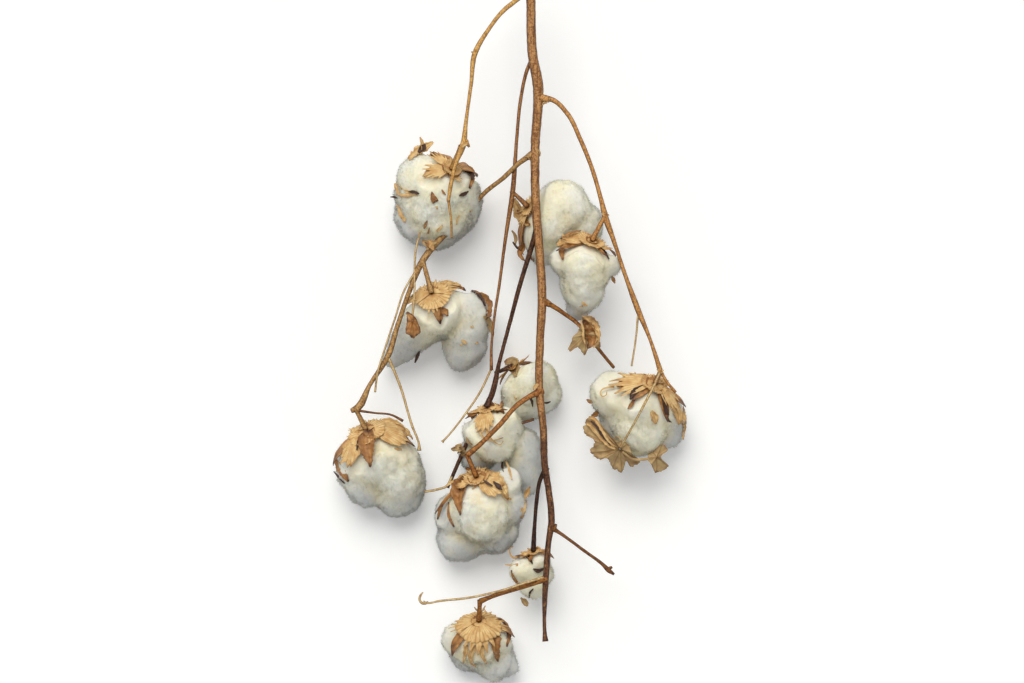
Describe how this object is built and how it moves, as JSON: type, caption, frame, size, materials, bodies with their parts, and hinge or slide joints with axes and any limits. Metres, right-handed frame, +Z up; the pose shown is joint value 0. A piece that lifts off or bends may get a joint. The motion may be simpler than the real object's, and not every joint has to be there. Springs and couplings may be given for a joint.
{
  "type": "cut cotton branch",
  "caption": "Cut, dried cotton branch laid down: woody stem with side branches, open bolls of white lint, brown burs, papery bracts and withered leaves.",
  "frame": {"origin": "on the surface that the branch lies on, under the middle of its box", "axes": "+Y along the branch towards the cut end of its main stem, +Z up from the surface, +X to the right of them"},
  "size_m": [0.263, 0.5322, 0.0709],
  "materials": {
    "stem_wood": "dry bark, tan at the cut end and dark at the tip",
    "tan_wood": "dry bark",
    "brown_wood": "dry bark",
    "dark_wood": "dry, nearly black bark",
    "lint": "loose cotton fibre",
    "bur": "dry, matt",
    "bracts": "papery, veined, matt",
    "dry_leaf": "crumpled, veined, matt"
  },
  "bodies": {
    "root": {"back_left_branch": "brown_wood", "bare_twig": "tan_wood", "boll_01_bracts": "bracts", "boll_01_bur": "bur", "boll_01_lint": "lint", "boll_02_bracts": "bracts", "boll_02_bur": "bur", "boll_02_lint": "lint", "boll_03_bracts": "bracts", "boll_03_bur": "bur", "boll_03_lint": "lint", "boll_04_bracts": "bracts", "boll_04_bur": "bur", "boll_04_lint": "lint", "boll_05_bracts": "bracts", "boll_05_bur": "bur", "boll_05_lint": "lint", "boll_06_bracts": "bracts", "boll_06_bur": "bur", "boll_06_lint": "lint", "boll_07_bracts": "bracts", "boll_07_bur": "bur", "boll_07_lint": "lint", "boll_08_bracts": "bracts", "boll_08_bur": "bur", "boll_08_lint": "lint", "boll_09_bracts": "bracts", "boll_09_bur": "bur", "boll_09_lint": "lint", "boll_10_bracts": "bracts", "boll_10_bur": "bur", "boll_10_lint": "lint", "boll_11_bracts": "bracts", "boll_11_bur": "bur", "boll_11_lint": "lint", "dark_branch": "dark_wood", "front_branch": "tan_wood", "hanging_bract": "bracts", "large_dry_leaf": "dry_leaf", "leaf_branch": "tan_wood", "long_left_branch": "tan_wood", "lowest_branch": "tan_wood", "main_stem": "stem_wood", "right_branch": "tan_wood", "short_dark_branch": "dark_wood", "small_dry_leaf": "dry_leaf", "upper_left_branch": "tan_wood"}
  },
  "joints": []
}
